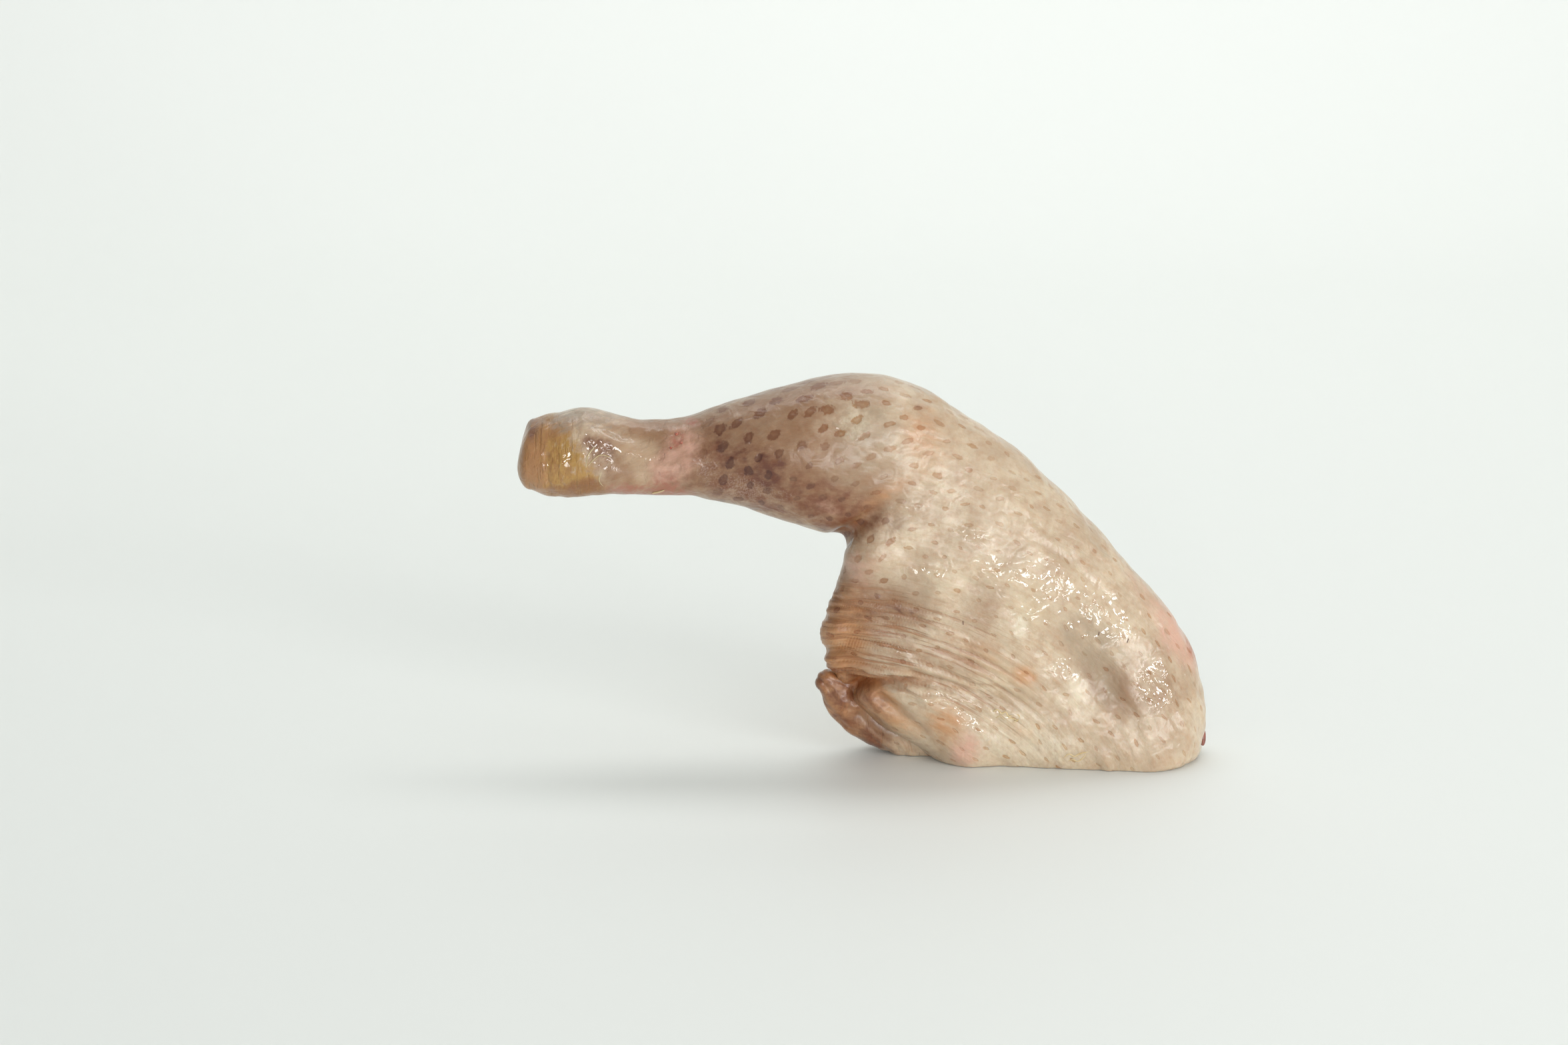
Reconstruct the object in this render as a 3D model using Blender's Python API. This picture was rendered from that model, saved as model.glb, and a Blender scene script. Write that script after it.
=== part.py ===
"""A raw chicken leg, skin on: drumstick and thigh in one piece, standing on the cut side of the thigh.

The leg is drawn in its own plane, which leans back by LEAN. In that plane a runs from the hock
towards the hip and b runs up, and d runs through the leg from its outer side to its inner side.
The origin is the middle of the flat that the thigh rests on, with +X towards the hip and +Z up.
"""

import bmesh
import bpy
import numpy as np

MM = 0.001

# Driving sizes, in millimetres and degrees.
LEAN = 15.0
REST_MIDDLE_A = 3.0
REST_MIDDLE_D = 20.0
LEG_RINGS = 80
LEG_POINTS = 46
FLAP_RINGS = 18
FLAP_POINTS = 20
END_RINGS = 4
# The power of a section's sine: 1 is an oval, less is fuller.
FULLNESS = 1.0

# Sections from the hock to the hip. Each row: where it is, the upper edge (a, b), the lower edge (a, b),
# the depth d of its middle, its thickness to the outer and to the inner side, and how far the flesh
# is gathered towards the upper edge.
LEG = (
    ("hock end", (-171.8, 123.3), (-172.5, 98.4), -4.0, 11.5, 11.5, 0.00),
    ("hock knob", (-165.1, 124.7), (-166.5, 96.1), -4.0, 13.0, 13.0, 0.00),
    ("hock", (-153.2, 126.7), (-154.6, 95.7), -4.5, 13.5, 13.0, 0.00),
    ("above hock", (-141.9, 124.0), (-145.4, 96.4), -5.0, 11.5, 11.5, 0.00),
    ("shank", (-132.0, 122.4), (-131.8, 96.8), -5.0, 10.5, 10.5, 0.00),
    ("calf start", (-120.5, 123.3), (-119.4, 96.8), -5.0, 12.0, 12.0, 0.00),
    ("calf", (-108.1, 127.4), (-111.3, 95.2), -5.0, 14.5, 15.0, 0.05),
    ("calf swell", (-94.3, 131.8), (-102.6, 93.4), -5.0, 17.5, 17.5, 0.08),
    ("drum", (-80.5, 135.9), (-92.9, 90.2), -5.0, 20.0, 19.5, 0.10),
    ("drum full", (-69.0, 138.2), (-80.7, 86.3), -4.8, 21.5, 20.5, 0.10),
    ("knee low", (-57.5, 138.5), (-71.3, 83.7), -4.4, 21.5, 20.0, 0.12),
    ("knee", (-47.2, 136.9), (-65.8, 81.9), -3.6, 20.5, 19.0, 0.16),
    ("knee bend", (-34.3, 131.8), (-64.8, 75.7), -2.0, 19.5, 18.0, 0.22),
    ("thigh start", (-20.5, 122.3), (-67.6, 65.8), 0.6, 20.5, 18.0, 0.26),
    ("thigh swell", (-6.7, 113.3), (-72.7, 52.9), 3.4, 21.5, 18.5, 0.28),
    ("thigh", (7.2, 101.0), (-71.8, 40.9), 6.4, 22.5, 19.0, 0.28),
    ("thigh full", (21.0, 87.6), (-65.4, 29.4), 9.6, 22.5, 19.5, 0.26),
    ("thigh flap", (34.7, 72.3), (-54.4, 18.4), 12.6, 22.0, 20.0, 0.22),
    ("lower thigh", (46.3, 60.0), (-40.9, 9.9), 15.2, 21.0, 20.0, 0.16),
    ("hip side", (55.4, 45.9), (-27.6, 2.3), 17.2, 20.0, 19.5, 0.10),
    ("hip", (60.5, 30.6), (-9.2, -1.4), 18.8, 19.5, 19.0, 0.06),
    ("hip cut", (62.0, 17.5), (9.0, -2.8), 19.6, 19.0, 18.5, 0.02),
    ("hip corner", (60.6, 9.0), (24.0, -4.0), 20.0, 17.5, 17.5, 0.00),
)
# How far an end stands out past its last section, and how square its rim is: 2 is round.
HOCK_DOME = (4.2, 3.0)
HIP_DOME = (6.5, 2.0)

# The loose skin that folds under behind the thigh's lower edge, in the same terms.
FLAP = (
    ("flap tip", (-69.6, 33.6), (-73.0, 27.4), 19.0, 3.2, 4.0, 0.0),
    ("flap neck", (-61.0, 30.0), (-69.8, 21.2), 20.5, 5.0, 7.0, 0.0),
    ("flap", (-51.5, 25.5), (-63.0, 14.0), 22.0, 6.5, 9.0, 0.0),
    ("flap middle", (-44.5, 21.0), (-56.0, 9.0), 22.5, 7.0, 11.0, 0.0),
    ("flap low", (-38.0, 18.0), (-48.8, 6.1), 22.5, 7.5, 12.5, 0.0),
    ("flap heel", (-31.0, 15.0), (-42.0, 4.4), 22.5, 7.5, 13.5, 0.0),
    ("flap end", (-24.0, 12.0), (-36.5, 3.6), 22.5, 6.0, 12.0, 0.0),
)
FLAP_DOME = (3.2, 2.0)

# Swellings and hollows of the outer side: middle (a, b), reach along and across, turn, and height.
OUTER_FORMS = (
    ("fat below the knee fold", (-56.5, 75.0), (9.0, 7.0), 30, 3.0),
    ("calf muscle", (-85.0, 108.0), (20.0, 9.0), -15, 1.2),
    ("kneecap", (-46.0, 122.0), (13.0, 10.0), 0, 1.4),
    ("thigh muscle", (-2.0, 70.0), (26.0, 15.0), -45, 1.6),
    ("hollow over the hip", (22.0, 33.0), (17.0, 10.0), -50, -2.4),
    ("hip swelling", (44.0, 26.0), (12.0, 18.0), 10, 1.6),
    ("lower lobe", (-36.0, 20.0), (20.0, 9.0), -35, 3.2),
    ("lobe foot", (-24.0, 8.0), (9.0, 8.0), 0, 2.2),
)
# Creases of the outer side: from (a, b) to (a, b), half width, depth, and how it fades towards its end.
OUTER_CREASES = (
    ("knee fold", (-68.0, 80.5), (-50.0, 92.0), 4.0, 4.0, 0.9),
    ("upper edge of the lobe", (-70.0, 31.5), (-36.0, 32.6), 3.6, 3.2, 0.1),
    ("lobe crease towards the hip", (-36.0, 32.6), (0.0, 22.0), 4.0, 2.9, 0.9),
)
# The bare flesh of the inner side, where the skin stops: middle, reach along and across, and turn.
# Its ragged outline is that reach times waves: how many go round it, how high they are and where they start.
CUT_MIDDLE = (10.0, 46.0)
CUT_REACH = (56.0, 34.0)
CUT_TURN = -42.0
CUT_WAVES = ((5, 0.05, 0.6), (11, 0.03, 0.0))
SKIN_THICKNESS = 1.8
SKIN_EDGE = 5.0
INNER_FORMS = (
    ("inner thigh muscle", (-8.0, 62.0), (24.0, 10.0), -48, 3.0),
    ("flesh beside the bone", (24.0, 30.0), (16.0, 9.0), -30, 2.4),
    ("gap between the muscles", (10.0, 52.0), (26.0, 5.0), -46, -1.6),
)
HIP_JOINT = (30.0, 38.0, 28.6)
HIP_JOINT_RADIUS = 7.2

SKIN_COLOUR = (0.62, 0.47, 0.34, 1.0)
SKIN_ROUGHNESS = 0.42


def smooth_rows(knots, places):
    """Rows read off a Catmull-Rom curve through the rows of knots, at places from 0 to their last index."""
    last = len(knots) - 1
    first = np.clip(places.astype(int), 0, last - 1)
    t = (places - first)[:, None]
    before = knots[np.maximum(first - 1, 0)]
    start = knots[first]
    end = knots[first + 1]
    after = knots[np.minimum(first + 2, last)]
    return 0.5 * (
        2 * start
        + (end - before) * t
        + (2 * before - 5 * start + 4 * end - after) * t**2
        + (3 * start - before - 3 * end + after) * t**3
    )


def even_places(knots, count):
    """Places along the sections that step evenly by the travel of the two edges."""
    fine = np.linspace(0, len(knots) - 1, 40 * len(knots))
    rows = smooth_rows(knots, fine)
    upper = np.linalg.norm(np.diff(rows[:, 0:2], axis=0), axis=1)
    lower = np.linalg.norm(np.diff(rows[:, 2:4], axis=0), axis=1)
    travel = np.concatenate([[0.0], np.cumsum(upper + lower)])
    return np.interp(np.linspace(0, travel[-1], count), travel, fine)


def loft(sections, rings, points, start_dome, end_dome):
    """Points (a, b, d) on rings through the sections with a dome at each end, and the outer side's share.

    Each section is a rounded oval between its two edges, fuller towards its upper edge.
    A dome is its height and how square its rim is.
    """
    knots = np.array([[*upper, *lower, *rest] for _, upper, lower, *rest in sections])
    rows = smooth_rows(knots, even_places(knots, rings))
    upper = rows[:, 0:2]
    lower = rows[:, 2:4]
    centre = (upper + lower) / 2
    up = (upper - lower) / np.linalg.norm(upper - lower, axis=1, keepdims=True)
    half = np.linalg.norm(upper - lower, axis=1) / 2
    middle, outer, inner, gather = rows[:, 4:8].T
    # The end rings shrink to nothing as they move out by the dome's height.
    shrink = np.sin(np.linspace(0, np.pi / 2, END_RINGS + 1)[:-1])
    start_rise = start_dome[0] * (1 - shrink ** start_dome[1]) ** (1 / start_dome[1])
    end_rise = end_dome[0] * (1 - shrink ** end_dome[1]) ** (1 / end_dome[1])
    outward = np.stack([-up[:, 1], up[:, 0]], axis=1)
    start_side = -np.sign(outward[0] @ (centre[1] - centre[0]))
    end_side = np.sign(outward[-1] @ (centre[-1] - centre[-2]))
    order = np.concatenate([np.zeros(END_RINGS, int), np.arange(rings), np.full(END_RINGS, rings - 1)])
    size = np.concatenate([shrink, np.ones(rings), shrink[::-1]])
    push = np.concatenate([start_side * start_rise, np.zeros(rings), end_side * end_rise[::-1]])
    turn = np.linspace(0, 2 * np.pi, points, endpoint=False)
    across = np.cos(turn)[None, :]
    bulge = (np.sign(np.sin(turn)) * np.abs(np.sin(turn)) ** FULLNESS)[None, :]
    thickness = np.where(bulge > 0, outer[order, None], inner[order, None])
    plane = (
        centre[order, None, :]
        + up[order, None, :] * (half[order] * size)[:, None, None] * across[:, :, None]
        + outward[order, None, :] * push[:, None, None]
    )
    swell = bulge * (1 + gather[order, None] * across)
    depth = middle[order, None] - thickness * size[:, None] * swell
    return np.dstack([plane, depth]), bulge * size[:, None]


def hump(a, b, middle, reach, turn):
    """A smooth hump of height 1 on an oval that is turned by so many degrees."""
    c, s = np.cos(np.radians(turn)), np.sin(np.radians(turn))
    along = ((a - middle[0]) * c + (b - middle[1]) * s) / reach[0]
    across = (-(a - middle[0]) * s + (b - middle[1]) * c) / reach[1]
    return np.exp(-(along**2 + across**2))


def crease(a, b, start, end, half_width, fade):
    """A smooth valley of depth 1 along a straight line, weaker towards its end by fade."""
    line = np.subtract(end, start)
    share = ((a - start[0]) * line[0] + (b - start[1]) * line[1]) / (line @ line)
    held = np.clip(share, 0, 1)
    away = np.hypot(a - start[0] - held * line[0], b - start[1] - held * line[1])
    return np.exp(-((away / half_width) ** 2)) * (1 - fade * held)


def cut_share(a, b):
    """1 on the bare flesh of the inner side, 0 on the skin, with a step as wide as the skin's edge."""
    c, s = np.cos(np.radians(CUT_TURN)), np.sin(np.radians(CUT_TURN))
    along = (a - CUT_MIDDLE[0]) * c + (b - CUT_MIDDLE[1]) * s
    across = -(a - CUT_MIDDLE[0]) * s + (b - CUT_MIDDLE[1]) * c
    angle = np.arctan2(across, along)
    ragged = 1 + sum(height * np.sin(count * angle + start) for count, height, start in CUT_WAVES)
    inside = (1 - np.hypot(along / CUT_REACH[0], across / CUT_REACH[1]) / ragged) * CUT_REACH[1]
    step = np.clip(inside / SKIN_EDGE, 0, 1)
    return step * step * (3 - 2 * step)


def with_relief(points, side):
    """The leg's points with its swellings, creases and cut side, each fading towards the edges."""
    a, b, d = points[..., 0], points[..., 1], points[..., 2]
    outer = sum(height * hump(a, b, middle, reach, turn) for _, middle, reach, turn, height in OUTER_FORMS)
    valleys = [
        depth * crease(a, b, start, end, width, fade) for _, start, end, width, depth, fade in OUTER_CREASES
    ]
    outer = outer - np.max(valleys, axis=0)
    inner = sum(height * hump(a, b, middle, reach, turn) for _, middle, reach, turn, height in INNER_FORMS)
    inner = (inner - SKIN_THICKNESS) * cut_share(a, b)
    raised = -outer * np.clip(side, 0, 1) + inner * np.clip(-side, 0, 1)
    return np.dstack([a, b, d + raised])


def in_the_world(points):
    """Points (a, b, d) in millimetres, leant back and set down, as (x, y, z) in metres."""
    c, s = np.cos(np.radians(LEAN)), np.sin(np.radians(LEAN))
    a, b, d = points[..., 0], points[..., 1], points[..., 2]
    x = a - REST_MIDDLE_A
    y = b * s + d * c - REST_MIDDLE_D / c
    z = b * c - d * s
    return np.stack([x, y, z], axis=-1) * MM


def object_of(name, bm):
    """The bmesh as an object of that name in the scene."""
    mesh = bpy.data.meshes.new(name)
    bm.to_mesh(mesh)
    bm.free()
    piece = bpy.data.objects.new(name, mesh)
    bpy.context.collection.objects.link(piece)
    return piece


def skinned(name, points):
    """A closed object over rings of points, whose first and last rings are single points."""
    rings, count, _ = points.shape
    bm = bmesh.new()
    first = bm.verts.new(points[0, 0])
    last = bm.verts.new(points[-1, 0])
    loops = [[bm.verts.new(p) for p in ring] for ring in points[1:-1]]
    for low, high in zip(loops, loops[1:]):
        for i in range(count):
            j = (i + 1) % count
            bm.faces.new((low[i], low[j], high[j], high[i]))
    for i in range(count):
        j = (i + 1) % count
        bm.faces.new((first, loops[0][j], loops[0][i]))
        bm.faces.new((last, loops[-1][i], loops[-1][j]))
    bmesh.ops.recalc_face_normals(bm, faces=bm.faces)
    return object_of(name, bm)


def hip_joint():
    """The round head of the thigh bone, half sunk in the flesh of the inner side."""
    bm = bmesh.new()
    bmesh.ops.create_icosphere(bm, subdivisions=3, radius=HIP_JOINT_RADIUS * MM)
    bmesh.ops.translate(bm, verts=bm.verts, vec=in_the_world(np.array(HIP_JOINT)))
    return object_of("hip_joint", bm)


def fused(base, others):
    """The base with the others joined to it by one union, which is applied."""
    together = bpy.data.collections.new("joined")
    bpy.context.scene.collection.children.link(together)
    for piece in others:
        bpy.context.collection.objects.unlink(piece)
        together.objects.link(piece)
    union = base.modifiers.new("union", "BOOLEAN")
    union.operation = "UNION"
    union.solver = "EXACT"
    union.operand_type = "COLLECTION"
    union.collection = together
    graph = bpy.context.evaluated_depsgraph_get()
    mesh = bpy.data.meshes.new_from_object(base.evaluated_get(graph))
    base.modifiers.remove(union)
    base.data = mesh
    for piece in others:
        bpy.data.objects.remove(piece)
    bpy.data.collections.remove(together)
    return base


def rest_on_the_floor(piece):
    """Cuts off what lies below the floor and closes the cut with a flat face."""
    bm = bmesh.new()
    bm.from_mesh(piece.data)
    geometry = bm.verts[:] + bm.edges[:] + bm.faces[:]
    cut = bmesh.ops.bisect_plane(bm, geom=geometry, plane_co=(0, 0, 0), plane_no=(0, 0, -1), clear_outer=True)
    rim = [e for e in cut["geom_cut"] if isinstance(e, bmesh.types.BMEdge)]
    bmesh.ops.edgenet_fill(bm, edges=rim)
    bmesh.ops.triangulate(bm, faces=[f for f in bm.faces if len(f.verts) > 4])
    bmesh.ops.recalc_face_normals(bm, faces=bm.faces)
    bm.to_mesh(piece.data)
    bm.free()


def skin_material():
    material = bpy.data.materials.new("chicken skin")
    material.use_nodes = True
    shader = material.node_tree.nodes["Principled BSDF"]
    shader.inputs["Base Color"].default_value = SKIN_COLOUR
    shader.inputs["Roughness"].default_value = SKIN_ROUGHNESS
    return material


def main():
    for old in list(bpy.data.objects):
        bpy.data.objects.remove(old)
    leg_points, side = loft(LEG, LEG_RINGS, LEG_POINTS, HOCK_DOME, HIP_DOME)
    leg = skinned("chicken_leg", in_the_world(with_relief(leg_points, side)))
    flap_points, _ = loft(FLAP, FLAP_RINGS, FLAP_POINTS, FLAP_DOME, FLAP_DOME)
    flap = skinned("skin_flap", in_the_world(flap_points))
    fused(leg, [flap, hip_joint()])
    rest_on_the_floor(leg)
    leg.data.shade_smooth()
    leg.data.materials.clear()
    leg.data.materials.append(skin_material())


main()
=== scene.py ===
"""The looks of a raw chicken leg that stands on the cut side of its thigh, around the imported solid.

Everything is drawn in the leg's own plane, as the solid is: a runs from the hock towards the hip, b runs
up in a plane that leans back by LEAN, and d runs through the leg from its outer side to its inner side, all
in millimetres. in_the_world turns that into the frame's metres.
"""

import bpy
import numpy as np
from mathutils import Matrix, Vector


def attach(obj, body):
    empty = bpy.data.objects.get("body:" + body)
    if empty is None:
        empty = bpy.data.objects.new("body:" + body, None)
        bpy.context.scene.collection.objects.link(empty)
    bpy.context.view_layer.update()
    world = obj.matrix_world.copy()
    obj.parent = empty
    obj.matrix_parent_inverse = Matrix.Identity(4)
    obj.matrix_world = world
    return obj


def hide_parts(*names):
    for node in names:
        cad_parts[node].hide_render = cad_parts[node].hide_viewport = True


MM = 0.001
SEED = 20
FLOOR_GAP = 0.2 * MM

LEAN = 15.0
REST_MIDDLE_A = 3.0
REST_MIDDLE_D = 20.0

# Sections from the hock to the hip: upper edge (a, b), lower edge (a, b), depth of the middle, thickness to
# the outer and to the inner side, and how far the flesh is gathered towards the upper edge.
LEG = (
    ((-171.8, 123.3), (-172.5, 98.4), -4, 11.5, 11.5, 0),
    ((-165.1, 124.7), (-166.5, 96.1), -4, 13, 13, 0),
    ((-153.2, 126.7), (-154.6, 95.7), -4.5, 13.5, 13, 0),
    ((-141.9, 124), (-145.4, 96.4), -5, 11.5, 11.5, 0),
    ((-132, 122.4), (-131.8, 96.8), -5, 10.5, 10.5, 0),
    ((-120.5, 123.3), (-119.4, 96.8), -5, 12, 12, 0),
    ((-108.1, 127.4), (-111.3, 95.2), -5, 14.5, 15, 0.05),
    ((-94.3, 131.8), (-102.6, 93.4), -5, 17.5, 17.5, 0.08),
    ((-80.5, 135.9), (-92.9, 90.2), -5, 20, 19.5, 0.10),
    ((-69, 138.2), (-80.7, 86.3), -4.8, 21.5, 20.5, 0.10),
    ((-57.5, 138.5), (-71.3, 83.7), -4.4, 21.5, 20, 0.12),
    ((-47.2, 136.9), (-65.8, 81.9), -3.6, 20.5, 19, 0.16),
    ((-34.3, 131.8), (-64.8, 75.7), -2, 19.5, 18, 0.22),
    ((-20.5, 122.3), (-67.6, 65.8), 0.6, 20.5, 18, 0.26),
    ((-6.7, 113.3), (-72.7, 52.9), 3.4, 21.5, 18.5, 0.28),
    ((7.2, 101), (-71.8, 40.9), 6.4, 22.5, 19, 0.28),
    ((21, 87.6), (-65.4, 29.4), 9.6, 22.5, 19.5, 0.26),
    ((34.7, 72.3), (-54.4, 18.4), 12.6, 22, 20, 0.22),
    ((46.3, 60), (-40.9, 9.9), 15.2, 21, 20, 0.16),
    ((55.4, 45.9), (-27.6, 2.3), 17.2, 20, 19.5, 0.10),
    ((60.5, 30.6), (-9.2, -1.4), 18.8, 19.5, 19, 0.06),
    ((62, 17.5), (9, -2.8), 19.6, 19, 18.5, 0.02),
    ((60.6, 9), (24, -4), 20, 17.5, 17.5, 0),
)
HOCK_DOME = (4.4, 2.4)
HIP_DOME = (6.5, 2.0)
LEG_RINGS = 330
LEG_OUTER_POINTS = 196
LEG_INNER_POINTS = 76

# The loose skin that folds under behind the thigh's lower edge.
FLAP = (
    ((-68.5, 35), (-74.2, 28.4), 11.5, 4, 6, 0),
    ((-61, 33.5), (-71.8, 22.8), 14, 5.5, 9, 0),
    ((-52.5, 28), (-64, 14.2), 17.5, 6.5, 10.5, 0),
    ((-44.5, 21.5), (-56.2, 9.2), 20, 7, 11.5, 0),
    ((-38, 18), (-48.9, 6.2), 21.5, 7.5, 12.5, 0),
    ((-31, 15), (-42.2, 4.4), 22.5, 7.5, 13.5, 0),
    ((-24, 12), (-36.5, 3.6), 22.5, 6, 12, 0),
)
FLAP_DOME = (3.8, 2.0)
FLAP_RINGS = 100
FLAP_OUTER_POINTS = 70
FLAP_INNER_POINTS = 40

DOME_RINGS = 14

# Swellings and hollows of the outer side: middle (a, b), reach along and across, turn, and height.
OUTER_FORMS = (
    ("fat below the knee fold", (-56.5, 76), (8.5, 8), 30, 3.4),
    ("second roll below the fold", (-62.5, 63), (6, 6), 0, 1),
    ("calf muscle", (-85, 108), (20, 9), -15, 1.2),
    ("kneecap", (-46, 122), (13, 10), 0, 1.4),
    ("thigh muscle", (-2, 70), (26, 15), -45, 1.6),
    ("hollow beside the thigh muscle", (-44, 56), (12, 8), -20, -1.2),
    ("hollow over the hip", (22, 33), (17, 10), -50, -2.4),
    ("hip swelling", (44, 26), (12, 18), 10, 1.6),
    ("lower lobe", (-36, 20), (20, 9), -35, 2.6),
    ("first ridge of the lobe", (-52, 21.5), (16, 3), -42, 1.5),
    ("second ridge of the lobe", (-36, 25), (15, 3.2), -36, 1.4),
    ("lobe foot", (-24, 9), (8, 9), 0, 2.6),
    ("hollow behind the lobe", (-64.5, 31.5), (7, 3.8), 12, -4.2),
    ("nodule of the edge", (-67.5, 51.5), (2.6, 2.4), 0, 1.1),
    ("roll at the hollow", (-56, 38.5), (12, 3), -6, 1.2),
    ("upper knob of the edge", (-71.5, 49.5), (5, 4.2), 0, 1.4),
    ("lower knob of the edge", (-70.5, 38.5), (5, 3.2), 0, 2.2),
    ("dimple under the hip swelling", (30, 24), (8, 4.5), -50, -1.4),
    ("knuckle of the hock", (-154, 121), (7, 6), 0, 1),
    ("sinew of the hock", (-140, 112), (13, 2.6), -24, 0.9),
    ("groove over the sinew", (-142, 117.5), (11, 2.2), -16, -0.9),
    ("groove under the sinew", (-138, 105), (10, 2.4), -20, -0.7),
    ("shank swelling", (-121, 105), (9, 7), 0, 0.8),
    ("bulge of the hock's end", (-175, 104), (8, 7), 0, 1.3),
    ("upper corner of the hock's end", (-173.5, 121), (4.5, 5), 0, -1.6),
)
# Creases of the outer side: from (a, b) to (a, b), half width, depth, and how it fades towards its end.
OUTER_CREASES = (
    ("knee fold", (-68, 80.5), (-51, 94), 2.8, 4.4, 0.9),
    ("knee fold's branch", (-56, 90), (-44, 96), 1.8, 1.2, 0.9),
    ("edge of the lobe", (-66.5, 26.5), (-60, 30.6), 1.9, 4.6, 0),
    ("corner of the lobe", (-60, 30.6), (-51, 32), 1.9, 4.6, 0.1),
    ("top of the lobe", (-51, 32), (-42, 33.2), 2.1, 4.1, 0.15),
    ("lobe crease", (-42, 33.2), (-24.6, 30), 2.6, 3.4, 0.4),
    ("lobe crease towards the hip", (-24.6, 30), (4, 23), 3.2, 2.1, 0.95),
    ("groove in the lobe", (-53, 27.5), (-38, 16.5), 1.8, 1.7, 0.5),
    ("second groove in the lobe", (-44, 29.5), (-27, 18), 1.8, 1.2, 0.7),
    ("between the knobs", (-75, 43.6), (-58, 41.5), 1.3, 2.2, 0.9),
    ("crease of the hock's end", (-166.4, 110), (-165.6, 97), 0.8, 0.8, 0.3),
    ("over the upper knob", (-74, 55), (-60, 54), 1.2, 1.5, 0.9),
    ("notch over the flap", (-74, 35.2), (-65, 34.6), 1.3, 1.4, 0.6),
)

# The bare flesh of the inner side, where the skin stops: middle, reach, turn, and waves of its ragged edge.
CUT_MIDDLE = (10.0, 46.0)
CUT_REACH = (56.0, 34.0)
CUT_TURN = -42.0
CUT_WAVES = ((5, 0.05, 0.6), (11, 0.03, 0.0), (23, 0.012, 1.0))
SKIN_THICKNESS = 1.6
SKIN_EDGE = 2.4
INNER_FORMS = (
    ("inner thigh muscle", (-8, 62), (24, 10), -48, 3.2),
    ("lower muscle", (-8, 38), (22, 8), -40, 1.8),
    ("flesh beside the bone", (24, 22), (14, 7), -30, 2),
    ("gap between the muscles", (10, 52), (28, 3.2), -46, -3),
    ("lower gap", (0, 30), (24, 2.4), -38, -2),
    ("socket of the joint", (31, 39), (11, 11), 0, -3.4),
)

# The skin's grain runs in arcs about this point: level at the knee, steep towards the lower right.
GRAIN_CENTRE = (-72.0, -66.0)

# Folds that fan out from the thigh's rear edge: their spacing and height, the band of the grain they fill,
# and where along it they fade.
FOLD_SPACING = 3.5
FOLD_HEIGHT = 1.45
FOLD_BAND = (97.0, 102.0, 122.0, 140.0)
FOLD_REACH = (18.0, 100.0)

# Wrinkles of the flap: a point of their axis, its turn, and how far apart they lie.
FLAP_MIDDLE = (-60.0, 20.0)
FLAP_TURN = -40.0
FLAP_SPACING = 4.0

# The slab of bare meat: how deep its back and its sunk rim lie under the skin, how far it rises inside the
# skin's edge, and where that rise starts and ends.
MEAT_BACK = 3.6
MEAT_RIM = 1.8
MEAT_RISE = 2.1
MEAT_SLOPE = (0.9, 2.4)

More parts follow.
